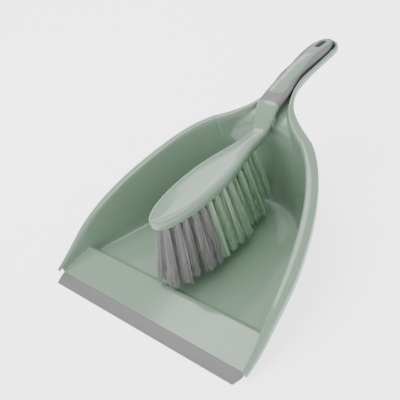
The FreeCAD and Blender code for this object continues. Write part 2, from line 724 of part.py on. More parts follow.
def build_brush():
    """(brush body, grip, anchors, {name: tuft}) of the hand brush."""
    head = Part.Face(head_outline(HEAD_BOTTOM)).extrude(Vector(0, 0, HEAD_THICKNESS))
    top_edges = [e for e in head.Edges if e.BoundBox.ZMin > HEAD_TOP - 0.01 and e.BoundBox.YLength > 1.0]
    head = head.makeFillet(HEAD_EDGE, top_edges)
    handle = build_handle()
    grip = build_grip(handle)
    body = head.fuse(handle.cut(grip)).removeSplitter()
    layout = tuft_layout()
    anchors = [build_anchor(root, direction) for name, root, direction in layout]
    holes = [build_hole(root, direction) for name, root, direction in layout]
    body = body.cut(holes + anchors)
    tufts = {}
    for (name, root, direction), anchor in zip(layout, anchors):
        tufts[name] = build_tuft(root, direction).cut(anchor)
    return body, grip, Part.makeCompound(anchors), tufts


def build_all():
    """{node name: shape} of the whole set."""
    pan = build_pan()
    body, grip, anchors, tufts = build_brush()
    nodes = {
        "pan_body": pan,
        "rubber_lip": build_lip(pan),
        "brush_body": body,
        "handle_grip": grip,
        "tuft_anchors": anchors,
    }
    nodes.update(tufts)
    return nodes


os.makedirs("parts", exist_ok=True)
for node, shape in build_all().items():
    shape.exportStep("parts/%s.step" % node)
    print(node, "solids", len(shape.Solids), "valid", shape.isValid(), "volume %.1f" % shape.Volume)
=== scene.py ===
"""Dust pan with a clip-in hand brush: the finished looks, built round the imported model."""

import logging
import math
import random
from dataclasses import dataclass, field
from enum import Enum
from typing import Callable, Sequence

import bpy
from mathutils import Matrix, Vector


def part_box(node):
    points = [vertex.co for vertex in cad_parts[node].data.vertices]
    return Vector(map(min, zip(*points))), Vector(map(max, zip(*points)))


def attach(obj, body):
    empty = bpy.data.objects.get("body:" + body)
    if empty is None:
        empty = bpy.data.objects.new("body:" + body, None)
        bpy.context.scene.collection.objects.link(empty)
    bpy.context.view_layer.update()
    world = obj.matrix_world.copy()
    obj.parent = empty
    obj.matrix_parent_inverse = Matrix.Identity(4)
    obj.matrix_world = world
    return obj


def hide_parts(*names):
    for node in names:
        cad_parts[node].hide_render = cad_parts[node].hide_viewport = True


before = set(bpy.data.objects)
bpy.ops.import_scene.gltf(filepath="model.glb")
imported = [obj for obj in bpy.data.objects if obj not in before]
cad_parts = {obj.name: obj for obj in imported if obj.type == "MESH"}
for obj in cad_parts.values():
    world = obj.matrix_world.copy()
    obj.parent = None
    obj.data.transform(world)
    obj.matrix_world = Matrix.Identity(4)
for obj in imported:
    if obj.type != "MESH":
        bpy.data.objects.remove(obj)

LOG = logging.getLogger("dust_pan_set")
MM = 0.001
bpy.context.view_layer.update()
LIP_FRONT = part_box("rubber_lip")[0].y / MM
TOTAL_LENGTH = (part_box("pan_body")[1].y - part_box("rubber_lip")[0].y) / MM

# Driving sizes that the pan and the brush share, in millimetres.
HEAD_TOP = 83.0             # top of the brush head
NECK_ROOT = 194.5           # where the head ends and the neck begins
SEAM_AT = 221.0             # front edge of the rubber grip
LEDGE = 2.6                 # thin rim of the cradle
BRUSH_TIP = TOTAL_LENGTH - LEDGE - 0.6
RISE = 29.5                 # end of the cradle above the top of the head
GRIP_HALF = 10.8            # half-width of the handle

Profile = Callable[[float], float]


class Body(Enum):
    """The two bodies that the set comes apart into."""

    PAN = "pan"
    BRUSH = "brush"


# ---- shapes as formulas, in millimetres ---------------------------------------------------------------


def at(x: float, d: float, z: float) -> Vector:
    """The point x across, d behind the lip's front edge and z up, in metres."""
    return Vector((x * MM, (LIP_FRONT + d) * MM, z * MM))


def smooth(knots: Sequence[tuple[float, float]]) -> Profile:
    """A curve through knots that never overshoots them.

    Args:
        knots: (place, value) pairs in order of place.

    Returns:
        A function of the place.
    """
    places = [k[0] for k in knots]
    values = [k[1] for k in knots]
    steps = [b - a for a, b in zip(places, places[1:])]
    slopes = [(q - p) / h for p, q, h in zip(values, values[1:], steps)]
    tangents = [slopes[0]]
    for left, right in zip(slopes, slopes[1:]):
        tangents.append(2 * left * right / (left + right) if left * right > 0 else 0.0)
    tangents.append(slopes[-1])

    def value(place: float) -> float:
        """The curve's value at a place."""
        i = 0
        while i < len(steps) - 1 and place > places[i + 1]:
            i += 1
        u = (place - places[i]) / steps[i]
        if u < 0:
            return values[0] + tangents[0] * (place - places[0])
        if u > 1:
            return values[-1] + tangents[-1] * (place - places[-1])
        rise = values[i + 1] - values[i]
        bend = steps[i] * (tangents[i] * (1 - u) ** 2 * u - tangents[i + 1] * u ** 2 * (1 - u))
        return values[i] + rise * (3 * u * u - 2 * u ** 3) + bend

    return value


def grip_at(share: float) -> float:
    """The place at a share of the way from the grip's seam to the brush's tip."""
    return SEAM_AT + share * (BRUSH_TIP - SEAM_AT)


def ease(low: float, high: float, place: float) -> float:
    """0 below `low`, 1 above `high`, and a smooth rise between them."""
    u = min(1.0, max(0.0, (place - low) / (high - low)))
    return u * u * (3 - 2 * u)


def blend_max(a: float, b: float, reach: float) -> float:
    """The larger of two heights, with the crease between them filled over `reach`."""
    h = max(reach - abs(a - b), 0.0) / reach
    return max(a, b) + h * h * reach / 4


def blend_min(a: float, b: float, reach: float) -> float:
    """The smaller of two heights, with the edge between them rounded over `reach`."""
    return -blend_max(-a, -b, reach)


# ---- modelling by operators ---------------------------------------------------------------------------


def deselect() -> None:
    """Leaves edit mode and selects nothing."""
    if bpy.context.object and bpy.context.object.mode != "OBJECT":
        bpy.ops.object.mode_set(mode="OBJECT")
    bpy.ops.object.select_all(action="DESELECT")


def pick(piece: bpy.types.Object) -> None:
    """Makes the piece the only selected and active one."""
    deselect()
    piece.select_set(True)
    bpy.context.view_layer.objects.active = piece


def modify(piece: bpy.types.Object, kind: str, **settings: object) -> None:
    """Adds a modifier with its settings and applies it."""
    pick(piece)
    modifier = piece.modifiers.new(kind.title(), kind)
    for name, value in settings.items():
        setattr(modifier, name, value)
    bpy.ops.object.modifier_apply(modifier=modifier.name)


def weld(piece: bpy.types.Object, gap: float = 0.00002) -> None:
    """Merges the vertices that lie together and turns the faces outwards."""
    pick(piece)
    bpy.ops.object.mode_set(mode="EDIT")
    bpy.ops.mesh.select_all(action="SELECT")
    bpy.ops.mesh.remove_doubles(threshold=gap)
    bpy.ops.mesh.dissolve_degenerate(threshold=gap / 4)
    bpy.ops.mesh.normals_make_consistent(inside=False)
    bpy.ops.object.mode_set(mode="OBJECT")


def flip(piece: bpy.types.Object) -> None:
    """Turns every face of the piece over."""
    pick(piece)
    bpy.ops.object.mode_set(mode="EDIT")
    bpy.ops.mesh.select_all(action="SELECT")
    bpy.ops.mesh.flip_normals()
    bpy.ops.object.mode_set(mode="OBJECT")


def settle(piece: bpy.types.Object, angle: float = 40.0) -> bpy.types.Object:
    """Puts the piece's place into its mesh and smooths its gentle edges."""
    pick(piece)
    bpy.ops.object.transform_apply(location=True, rotation=True, scale=True)
    bpy.ops.object.shade_smooth_by_angle(angle=math.radians(angle))
    return piece


def bent_grid(name: str, rows: Sequence[Sequence[Vector]]) -> bpy.types.Object:
    """A grid primitive whose vertices are moved to the rows of points, in order.

    Args:
        name: the new piece's name.
        rows: rows of equally many points, in metres.

    Returns:
        The open sheet.
    """
    deselect()
    across, along = len(rows[0]) - 1, len(rows) - 1
    bpy.ops.mesh.primitive_grid_add(x_subdivisions=across, y_subdivisions=along, size=1.0)
    piece = bpy.context.object
    piece.name = piece.data.name = name
    for vertex in piece.data.vertices:
        column = round((vertex.co.x + 0.5) * across)
        row = round((vertex.co.y + 0.5) * along)
        vertex.co = rows[row][column]
    return piece


def mirror(piece: bpy.types.Object) -> None:
    """Adds the other half across X = 0 and welds the seam."""
    modify(piece, "MIRROR", use_axis=(True, False, False), use_clip=True, merge_threshold=0.00002)
    weld(piece)


def bar(name: str, low: Vector, high: Vector, edge: float) -> bpy.types.Object:
    """A block between two corners, in metres, with its edges rounded."""
    deselect()
    bpy.ops.mesh.primitive_cube_add(size=1.0, location=(low + high) / 2)
    piece = bpy.context.object
    piece.name = piece.data.name = name
    piece.scale = high - low
    bpy.ops.object.transform_apply(location=True, rotation=True, scale=True)
    modify(piece, "BEVEL", width=edge, segments=3, limit_method="ANGLE")
    return settle(piece)


def present(
    piece: bpy.types.Object, body: Body, finish: "Finish", nodes: Sequence[str] = (),
) -> None:
    """Dresses a finished piece, lets it ride on its body and reports it.

    Args:
        piece: the finished piece.
        body: what it moves with.
        finish: its material.
        nodes: the CAD nodes that it stands for.
    """
    piece.data.materials.clear()
    piece.data.materials.append(finish.material())
    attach(piece, body.value)
    if nodes:
        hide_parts(*nodes)
    LOG.info("%s: %d faces on %s", piece.name, len(piece.data.polygons), body.value)


# ---- finishes -----------------------------------------------------------------------------------------


class Term:
    """A shader socket that takes part in Python expressions."""

    def __init__(self, tree: bpy.types.NodeTree, socket: bpy.types.NodeSocket) -> None:
        """Wraps an output socket of the tree."""
        self.tree = tree
        self.socket = socket

    def _maths(self, operation: str, first: object, second: object) -> "Term":
        """A Math node on two values, each a Term or a number."""
        node = self.tree.nodes.new("ShaderNodeMath")
        node.operation = operation
        for place, value in zip(node.inputs, (first, second)):
            if isinstance(value, Term):
                self.tree.links.new(value.socket, place)
            else:
                place.default_value = value
        return Term(self.tree, node.outputs[0])

    def __add__(self, other: object) -> "Term":
        """self + other."""
        return self._maths("ADD", self, other)

    __radd__ = __add__

    def __sub__(self, other: object) -> "Term":
        """self - other."""
        return self._maths("SUBTRACT", self, other)

    def __rsub__(self, other: object) -> "Term":
        """other - self."""
        return self._maths("SUBTRACT", other, self)

    def __mul__(self, other: object) -> "Term":
        """self * other."""
        return self._maths("MULTIPLY", self, other)

    __rmul__ = __mul__


class Shader:
    """A new material and the nodes that are added to it."""

    def __init__(self, name: str) -> None:
        """Starts a material that holds a Principled shader."""
        self.made = bpy.data.materials.new(name)
        self.made.use_nodes = True
        self.tree = self.made.node_tree
        self.skin = next(n for n in self.tree.nodes if n.type == "BSDF_PRINCIPLED")

    def node(self, kind: str, settings: dict | None = None, **sockets: object) -> bpy.types.Node:
        """Adds a node.

        Args:
            kind: the node's type.
            settings: attributes that are set first, and a ramp's stops under "stops".
            **sockets: values or Terms by input name, with _ for a space.

        Returns:
            The node.
        """
        node = self.tree.nodes.new(kind)
        for name, value in (settings or {}).items():
            if name == "stops":
                for element, (place, colour) in zip(node.color_ramp.elements, value):
                    element.position = place
                    element.color = colour
            else:
                setattr(node, name, value)
        for name, value in sockets.items():
            self.feed(node, name.replace("_", " "), value)
        return node

    def feed(self, node: bpy.types.Node, name: str, value: object) -> None:
        """Sets or links an input of a node, by its name."""
        place = next(s for s in node.inputs if s.name == name and s.enabled)
        if isinstance(value, Term):
            self.tree.links.new(value.socket, place)
        else:
            place.default_value = value

    def term(self, node: bpy.types.Node, output: str) -> Term:
        """A node's output, by its name, ready for expressions."""
        return Term(self.tree, next(s for s in node.outputs if s.name == output and s.enabled))

    def where(self) -> Term:
        """Object coordinates."""
        return self.term(self.node("ShaderNodeTexCoord"), "Object")

    def noise(self, scale: float, detail: float, stretch: tuple[float, float, float] = (1, 1, 1)) -> Term:
        """Noise over the object, as values about 0.5."""
        place = self.term(self.node("ShaderNodeMapping", Vector=self.where(), Scale=stretch), "Vector")
        return self.term(self.node("ShaderNodeTexNoise", Vector=place, Scale=scale, Detail=detail), "Fac")

    def tint(self, low: Sequence[float], high: Sequence[float], factor: Term) -> Term:
        """A colour between two, by a factor."""
        mix = self.node("ShaderNodeMix", {"data_type": "RGBA"}, Factor=factor, A=(*low, 1.0), B=(*high, 1.0))
        return self.term(mix, "Result")

    def bump(self, height: Term, depth: float) -> None:
        """Raises the surface by up to `depth` metres where the height is 1."""
        node = self.node("ShaderNodeBump", Height=height, Distance=depth, Strength=1.0)
        self.feed(self.skin, "Normal", self.term(node, "Normal"))


@dataclass(frozen=True)
class Finish:
    """What every finish has: a name, a colour and how much it varies."""

    name: str
    colour: tuple[float, float, float]
    vary: float = 0.05

    def shades(self) -> tuple[list[float], list[float]]:
        """The darkest and lightest shade of the colour."""
        return [c * (1 - self.vary) for c in self.colour], [c * (1 + self.vary) for c in self.colour]

    def material(self) -> bpy.types.Material:
        """The material, made once."""
        return bpy.data.materials.get(self.name) or self.make(Shader(self.name))

    def make(self, shader: Shader) -> bpy.types.Material:
        """Builds the nodes."""
        raise NotImplementedError


@dataclass(frozen=True)
class GlossPlastic(Finish):
    """Injection-moulded polypropylene: glossy, with faint flow and a slight orange peel."""

    roughness: float = 0.11
    peel: float = 0.000008

    def make(self, shader: Shader) -> bpy.types.Material:
        """Builds the nodes."""
        flow = shader.noise(9.0, 3.0, (1.0, 0.5, 1.0))
        haze = shader.noise(60.0, 2.0)
        shader.feed(shader.skin, "Base Color", shader.tint(*self.shades(), flow))
        shader.feed(shader.skin, "Roughness", self.roughness + (haze - 0.5) * 0.06 + (flow - 0.5) * 0.04)
        shader.feed(shader.skin, "IOR", 1.49)
        shader.feed(shader.skin, "Coat Weight", 0.12)
        shader.feed(shader.skin, "Coat Roughness", 0.03)
        shader.bump(shader.noise(320.0, 1.0) * 0.7 + shader.noise(45.0, 1.0) * 2.5, self.peel)
        return shader.made


@dataclass(frozen=True)
class SoftRubber(Finish):
    """Thermoplastic rubber: satin, with a fine spark-eroded grain."""

    roughness: float = 0.55
    grain: float = 0.00004

    def make(self, shader: Shader) -> bpy.types.Material:
        """Builds the nodes."""
        cloud = shader.noise(30.0, 3.0)
        grain = shader.noise(2600.0, 2.0)
        shader.feed(shader.skin, "Base Color", shader.tint(*self.shades(), cloud))
        shader.feed(shader.skin, "Roughness", self.roughness + (grain - 0.5) * 0.2)
        shader.feed(shader.skin, "IOR", 1.46)
        shader.bump(grain, self.grain)
        return shader.made


@dataclass(frozen=True)
class Bristle(Finish):
    """Drawn synthetic filament: each strand its own shade, with a silky streak along it."""

    roughness: float = 0.42

    def make(self, shader: Shader) -> bpy.types.Material:
        """Builds the nodes."""
        strand = shader.term(shader.node("ShaderNodeAttribute", {"attribute_name": "strand"}), "Fac")
        streak = shader.noise(900.0, 1.0, (1.0, 1.0, 0.05))
        shade = strand * 0.75 + streak * 0.25
        shader.feed(shader.skin, "Base Color", shader.tint(*self.shades(), shade))
        shader.feed(shader.skin, "Roughness", self.roughness + (streak - 0.5) * 0.2)
        return shader.made


@dataclass(frozen=True)
class FlatWire(Finish):
    """Rolled steel wire: bright, with fine lines along it."""

    def make(self, shader: Shader) -> bpy.types.Material:
        """Builds the nodes."""
        lines = shader.noise(1500.0, 2.0, (0.1, 1.0, 1.0))
        shader.feed(shader.skin, "Base Color", shader.tint(*self.shades(), lines))
        shader.feed(shader.skin, "Metallic", 1.0)
        shader.feed(shader.skin, "Roughness", 0.3 + lines * 0.15)
        shader.bump(lines, 0.00001)
        return shader.made


@dataclass(frozen=True)
class PaleGround(Finish):
    """A plain pale studio ground."""

    def make(self, shader: Shader) -> bpy.types.Material:
        """Builds the nodes."""
        shader.feed(shader.skin, "Base Color", shader.tint(*self.shades(), shader.noise(2.0, 1.0)))
        shader.feed(shader.skin, "Roughness", 0.9)
        shader.feed(shader.skin, "Emission Color", (1.0, 1.0, 1.0, 1.0))
        shader.feed(shader.skin, "Emission Strength", 2.0)
        return shader.made


PAN_PLASTIC = GlossPlastic("sage_plastic_pan", (0.158, 0.236, 0.172), 0.03, 0.12)
BRUSH_PLASTIC = GlossPlastic("sage_plastic_brush", (0.17, 0.248, 0.185), 0.03, 0.10)
LIP_RUBBER = SoftRubber("grey_rubber_lip", (0.13, 0.13, 0.132), 0.06, 0.5)
GRIP_RUBBER = SoftRubber("grey_rubber_grip", (0.135, 0.125, 0.135), 0.05, 0.55)
GREEN_BRISTLE = Bristle("mint_bristle", (0.30, 0.455, 0.31), 0.6)
GREY_BRISTLE = Bristle("grey_bristle", (0.225, 0.222, 0.222), 0.6)
ANCHOR_STEEL = FlatWire("anchor_steel", (0.55, 0.55, 0.56))
GROUND = PaleGround("pale_ground", (0.93, 0.93, 0.93), 0.01)


# ---- pan ----------------------------------------------------------------------------------------------


@dataclass(frozen=True)
class Station:
    """A place on the rim's inner edge and the section of the pan that starts there."""

    x: float
    d: float
    out_x: float
    out_d: float
    centre_d: float


@dataclass
class DustPan:
    """The pan: ramp, floor, bowl, rolled rim and the open cradle that is its handle."""

    wall: float = 2.0
    mouth_half: float = 116.0
    bowl_length: float = 213.0
    fullness: float = 0.44
    back_height: float = HEAD_TOP + 8.0
    front_height: float = 3.5
    front_gap: float = 9.5
    draft: float = 11.0
    ramp_start: float = 12.5
    ramp_foot: float = 3.4
    ridge_at: float = 45.6
    ridge_height: float = 10.0
    ridge_flat: float = 1.4
    heel_at: float = 54.6
    heel_rise: float = 2.3
    cradle_start: float = 196.0
    cradle_end: float = 250.0
    cradle_half: float = GRIP_HALF + 1.0
    cradle_height: float = HEAD_TOP + RISE
    cradle_draft: float = 8.0
    ledge: float = LEDGE
    post_at: float = 209.0
    post_length: float = 6.0
    post_near: float = 9.6
    post_far: float = 11.6
    post_rise: float = 9.3
    wall_reach: float = 20.0
    nose_blend: float = 12.0
    fan_end: float = 189.0
    length: float = TOTAL_LENGTH
    rim_height: Profile = field(init=False)
    rim_width: Profile = field(init=False)
    rim_drop: Profile = field(init=False)

    def __post_init__(self) -> None:
        """Works out the rim's height, width and depth along the pan."""
        climb = self.back_height - self.front_height
        rise = self.cradle_height - self.back_height
        grip = self.length - self.cradle_end
        shares = [
            (0.0, 0.0), (0.12, 0.14), (0.26, 0.34), (0.47, 0.545), (0.70, 0.74), (0.86, 0.89), (1.0, 1.0),
        ]
        knots = [(self.bowl_length * s, self.front_height + climb * h) for s, h in shares]
        knots.append((self.bowl_length + 22.0, self.back_height + 0.35 * rise))
        shares = [(0.0, 0.68), (0.15, 0.84), (0.45, 0.90), (1.0, 1.0)]
        knots += [(self.cradle_end + grip * s, self.back_height + rise * h) for s, h in shares]
        self.rim_height = smooth(knots)
        self.rim_width = smooth([
            (0.0, 3.0), (38.0, 7.0), (96.0, 11.0), (self.cradle_start, 11.0),
            (self.cradle_end, self.ledge), (self.length, self.ledge),
        ])
        self.rim_drop = smooth([
            (0.0, 3.0), (64.0, 7.4), (self.cradle_start, 7.4),
            (self.cradle_end + 0.1 * grip, 4.8), (self.length, 4.8),
        ])

    def bowl_half(self, d: float) -> float:
        """Half-width between the inner edges of the bowl's rim."""
        return self.mouth_half * max(0.0, 1 - (d / self.bowl_length) ** 2) ** self.fullness

    def neck_half(self, d: float) -> float:
        """Half-width of the cradle, which flares out into the bowl."""
        u = min(1.0, max(0.0, (d - self.cradle_start) / (self.cradle_end - self.cradle_start)))
        flare = self.bowl_half(self.cradle_start) - self.cradle_half
        return self.cradle_half + flare * (1 - u) ** 2.3

    def base(self, d: float) -> float:
        """Height of the ramp and the floor along the middle."""
        slope = (self.ridge_height - self.ramp_foot) / (self.ridge_at - self.ramp_start)
        if d < self.ridge_at:
            return self.ramp_foot + slope * (d - self.ramp_start)
        back = self.ridge_at + self.ridge_flat
        fall = max(0.0, d - back) * (self.ridge_height - self.wall) / (self.heel_at - back)
        return max(self.wall, self.ridge_height - fall)

    def bowl_top(self, x: float, d: float) -> float:
        """Height of the bowl's inner surface, wall and floor together."""
        share_x, share_d = abs(x) / self.mouth_half, d / self.bowl_length
        power = 1 / self.fullness
        level = 1 - share_x ** power - share_d ** 2
        across = power * share_x ** (power - 1) / self.mouth_half
        along = 2 * share_d / self.bowl_length
        steep = math.hypot(across, along) or 1.0
        inside = level / max(steep, 0.004)
        ahead = self.wall_reach * (1 - math.exp(-max(0.0, inside) / self.wall_reach))
        rim = self.rim_height(d + ahead * along / steep)
        side = rim - inside / math.tan(math.radians(self.draft))
        floor = self.base(d)
        ramp_reach = 2.0 + 16.0 * ease(self.heel_at, self.heel_at + 30.0, d)
        return blend_max(floor, side, min(ramp_reach, max(0.8, 0.5 * (rim - floor))))

    def cradle_floor(self, d: float) -> float:
        """Height of the cradle's floor along its middle."""
        return HandBrush.underside(d) - 1.0

    def cradle_top(self, x: float, d: float) -> float:
        """Height of the cradle's inner surface, sides and floor together."""
        end = self.length - self.ledge - self.cradle_half
        if d > end:
            inside = self.cradle_half - math.hypot(x, d - end)
        else:
            slope = (self.neck_half(d + 0.1) - self.neck_half(d - 0.1)) / 0.2
            inside = (self.neck_half(d) - abs(x)) / math.hypot(1.0, slope)
        rim = self.rim_height(d)
        floor = self.cradle_floor(d)
        side = rim - inside / math.tan(math.radians(self.cradle_draft))
        return blend_max(floor, side, 0.9 * (rim - floor))

    def inner_height(self, x: float, d: float) -> float:
        """Height of the pan's inner surface at a place in its plan."""
        bowl = self.bowl_top(x, d)
        if d < self.cradle_start - 25.0:
            return bowl
        cradle = self.cradle_top(x, d)
        below = self.rim_height(d) - min(bowl, cradle)
        return blend_min(bowl, cradle, 0.5 + self.nose_blend * ease(1.0, 16.0, below))

    def stations(self) -> list[Station]:
        """The right side's stations, from the front corner to the far end of the cradle."""
        found: list[Station] = []
        back = self.ridge_at + self.ridge_flat
        steps = [self.ramp_start + (self.ridge_at - self.ramp_start) * i / 14 for i in range(15)]
        steps += [back, back + 0.02 * (self.heel_at - back)]
        steps += [back + (self.heel_at - back) * i / 3 for i in (1, 2, 3)]
        for d in steps:
            found.append(self.station(self.bowl_half, d, d))
        first = math.asin(self.heel_at / self.bowl_length)
        last = math.asin(self.cradle_start / self.bowl_length)
        count = 72
        for i in range(1, count):
            d = self.bowl_length * math.sin(first + (last - first) * i / count)
            centre_d = self.heel_at + (self.fan_end - self.heel_at) * i / count
            found.append(self.station(self.bowl_half, d, centre_d))
        target = smooth([(0.0, self.fan_end), (0.15, 195.0), (0.5, 211.0), (1.0, self.cradle_end)])
        count = 56
        for i in range(count + 1):
            d = self.cradle_start + (self.cradle_end - self.cradle_start) * i / count
            found.append(self.station(self.neck_half, d, target(i / count)))
        end = self.length - self.ledge - self.cradle_half
        count = 28
        for i in range(1, count + 1):
            d = self.cradle_end + (end - self.cradle_end) * i / count
            found.append(self.station(self.neck_half, d, d))
        count = 14
        for i in range(1, count + 1):
            turn = math.radians(90.0 * i / count)
            x, y = math.cos(turn), math.sin(turn)
            found.append(Station(self.cradle_half * x, end + self.cradle_half * y, x, y, end))
        return found

    def station(self, half: Profile, d: float, centre_d: float) -> Station:
        """A station on a stretch of edge that is a function of d."""
        slope = (half(d + 0.05) - half(d - 0.05)) / 0.1
        size = math.hypot(1.0, slope)
        return Station(half(d), d, 1 / size, -slope / size, centre_d)

    def rim_section(self, d: float) -> list[tuple[float, float]]:
        """(outward, up) points of the rolled rim, from its turned-down edge to its inner edge."""
        width, drop = self.rim_width(d), self.rim_drop(d)
        crest = 0.13 * width
        fall = 0.09 * width
        corner = min(1.5, 0.3 * width)
        edge = -fall
        points = [(width, -drop), (width, 0.55 * -drop + 0.45 * (edge - corner)), (width, edge - corner)]
        for turn in (25, 50, 72):
            angle = math.radians(turn)
            points.append((width - corner * (1 - math.cos(angle)), edge - corner * (1 - math.sin(angle))))
        lead = 0.9
        count = 11
        for i in range(count):
            v = 1 - i / (count - 1)
            out = lead + (width - corner - lead) * v
            share = out / width
            points.append((out, crest * math.sin(math.pi * share ** 0.7) - fall * share ** 2))
        points += [(0.42, 0.02 * width - 0.12), (0.1, -0.55)]
        return points

    def section(self, place: Station) -> list[Vector]:
        """The points of one section, from the rim's turned-down edge to the middle of the pan."""
        rim = self.rim_height(place.d)
        points = [
            at(place.x + place.out_x * out, place.d + place.out_d * out, rim + up)
            for out, up in self.rim_section(place.d)
        ]
        span = math.hypot(place.x, place.centre_d - place.d)
        reach = (rim - self.base(place.centre_d)) * math.tan(math.radians(self.draft)) * 1.15 + 10.0
        near, far = 28, 14
        share = min(near / (near + far), reach / max(span, 0.001))
        flaring = ease(self.cradle_start - 30.0, self.cradle_start + 10.0, place.d)
        share += (near / (near + far) - share) * flaring
        for i in range(1, near + far + 1):
            part = share * i / near if i <= near else share + (1 - share) * (i - near) / far
            x = place.x * (1 - part)
            d = place.d + (place.centre_d - place.d) * part
            points.append(at(x, d, self.inner_height(x, d)))
        return points

    def shell(self) -> bpy.types.Object:
        """The whole moulding as one sheet, mirrored and thickened."""
        places = self.stations()
        rows = [self.section(place) for place in places]
        tip = places[0]
        kept = len(self.rim_section(tip.d))
        rim = self.rim_height(self.front_gap)
        front = self.station(self.bowl_half, self.front_gap, self.front_gap)
        nose = [
            at(front.x + front.out_x * out, self.front_gap, rim + up)
            for out, up in self.rim_section(self.front_gap)
        ]
        rows.insert(0, nose + rows[0][kept:])
        piece = bent_grid("pan_moulding", rows)
        weld(piece)
        mirror(piece)
        self.point_up(piece)
        group = piece.vertex_groups.new(name="wall")
        for vertex in piece.data.vertices:
            d = vertex.co.y / MM - LIP_FRONT
            group.add([vertex.index], 1 - 0.45 * ease(self.cradle_start, self.cradle_end, d), "REPLACE")
        modify(
            piece, "SOLIDIFY", thickness=self.wall * MM, offset=-1.0, vertex_group="wall",
            use_quality_normals=True,
        )
        return settle(piece, 45.0)

    def point_up(self, piece: bpy.types.Object) -> None:
        """Turns the open sheet's faces towards the inside of the pan."""
        lowest = min(piece.data.polygons, key=lambda f: (f.center - at(0, 120.0, self.wall)).length)
        if lowest.normal.z < 0:
            flip(piece)

    def cheeks(self) -> bpy.types.Object:
        """The side walls below the ramp, down to just off the ground."""
        rows = []
        for i in range(19):
            d = self.ramp_start + 0.3 + (self.heel_at - self.ramp_start) * i / 18
            lean = math.tan(math.radians(self.draft))
            top = self.base(d) - 0.6
            row = []
            for j in range(4):
                z = top + (self.heel_rise - top) * j / 3
                row.append(at(self.bowl_half(d) - (self.rim_height(d) - z) * lean + self.wall * 0.92, d, z))
            rows.append(row)
        piece = bent_grid("pan_cheeks", rows)
        modify(piece, "SOLIDIFY", thickness=1.6 * MM, offset=-1.0 if self.faces_out(piece) else 1.0)
        mirror(piece)
        return settle(piece)

    def faces_out(self, piece: bpy.types.Object) -> bool:
        """Whether the sheet's first face looks away from the middle."""
        return piece.data.polygons[0].normal.x > 0

    def foot_rib(self) -> bpy.types.Object:
        """The cross rib under the ramp, whose ends show beside the walls."""
        half = self.bowl_half(34.0) - 1.5
        top = self.base(34.0) - 1.0
        return bar("pan_foot_rib", at(-half, 33.0, 0.0), at(half, 35.0, top), 0.3 * MM)

    def posts(self) -> list[bpy.types.Object]:
        """The two posts beside the brush's neck, which cut a little into it."""
        made = []
        for side, name in ((-1, "left"), (1, "right")):
            near, far = sorted((side * self.post_near, side * self.post_far))
            foot = self.cradle_floor(self.post_at) - 1.0
            low = at(near, self.post_at, foot)
            high = at(far, self.post_at + self.post_length, HEAD_TOP + self.post_rise)
            made.append(bar(f"pan_post_{name}", low, high, 0.8 * MM))
        return made

    def build(self) -> None:
        """Builds and dresses the pan."""
        present(self.shell(), Body.PAN, PAN_PLASTIC, ["pan_body"])
        for piece in [self.cheeks(), self.foot_rib(), *self.posts()]:
            present(piece, Body.PAN, PAN_PLASTIC)


@dataclass
class RubberLip:
    """The soft strip along the front of the ramp."""

    front_half: float = 112.0
    flare: float = 2.6
    flare_length: float = 8.5
    depth: float = 12.5
    edge: float = 0.9
    back: float = 3.4

    def build(self) -> None:
        """Builds and dresses the strip."""
        deselect()
        bpy.ops.mesh.primitive_cube_add(size=1.0)
        piece = bpy.context.object
        piece.name = piece.data.name = "front_lip"
        for vertex in piece.data.vertices:
            behind, above = vertex.co.y > 0, vertex.co.z > 0
            side = 1 if vertex.co.x > 0 else -1
            half = self.front_half + (self.flare if behind else 0.0)
            height = (self.back if behind else self.edge) if above else 0.0
            vertex.co = at(side * half, self.depth if behind else 0.0, height)
        bpy.ops.object.mode_set(mode="EDIT")
        bpy.ops.mesh.select_all(action="SELECT")
        cut = at(0, self.flare_length, 0)
        bpy.ops.mesh.bisect(plane_co=cut, plane_no=(0, 1, 0))
        bpy.ops.object.mode_set(mode="OBJECT")
        for vertex in piece.data.vertices:
            if abs(vertex.co.y - cut.y) < 0.1 * MM:
                vertex.co.x = math.copysign((self.front_half + self.flare) * MM, vertex.co.x)
        crease = math.radians(25)
        modify(piece, "BEVEL", width=0.35 * MM, segments=3, limit_method="ANGLE", angle_limit=crease)
        weld(piece)
        settle(piece, 35.0)
        present(piece, Body.PAN, LIP_RUBBER, ["rubber_lip"])


# ---- brush --------------------------------------------------------------------------------------------


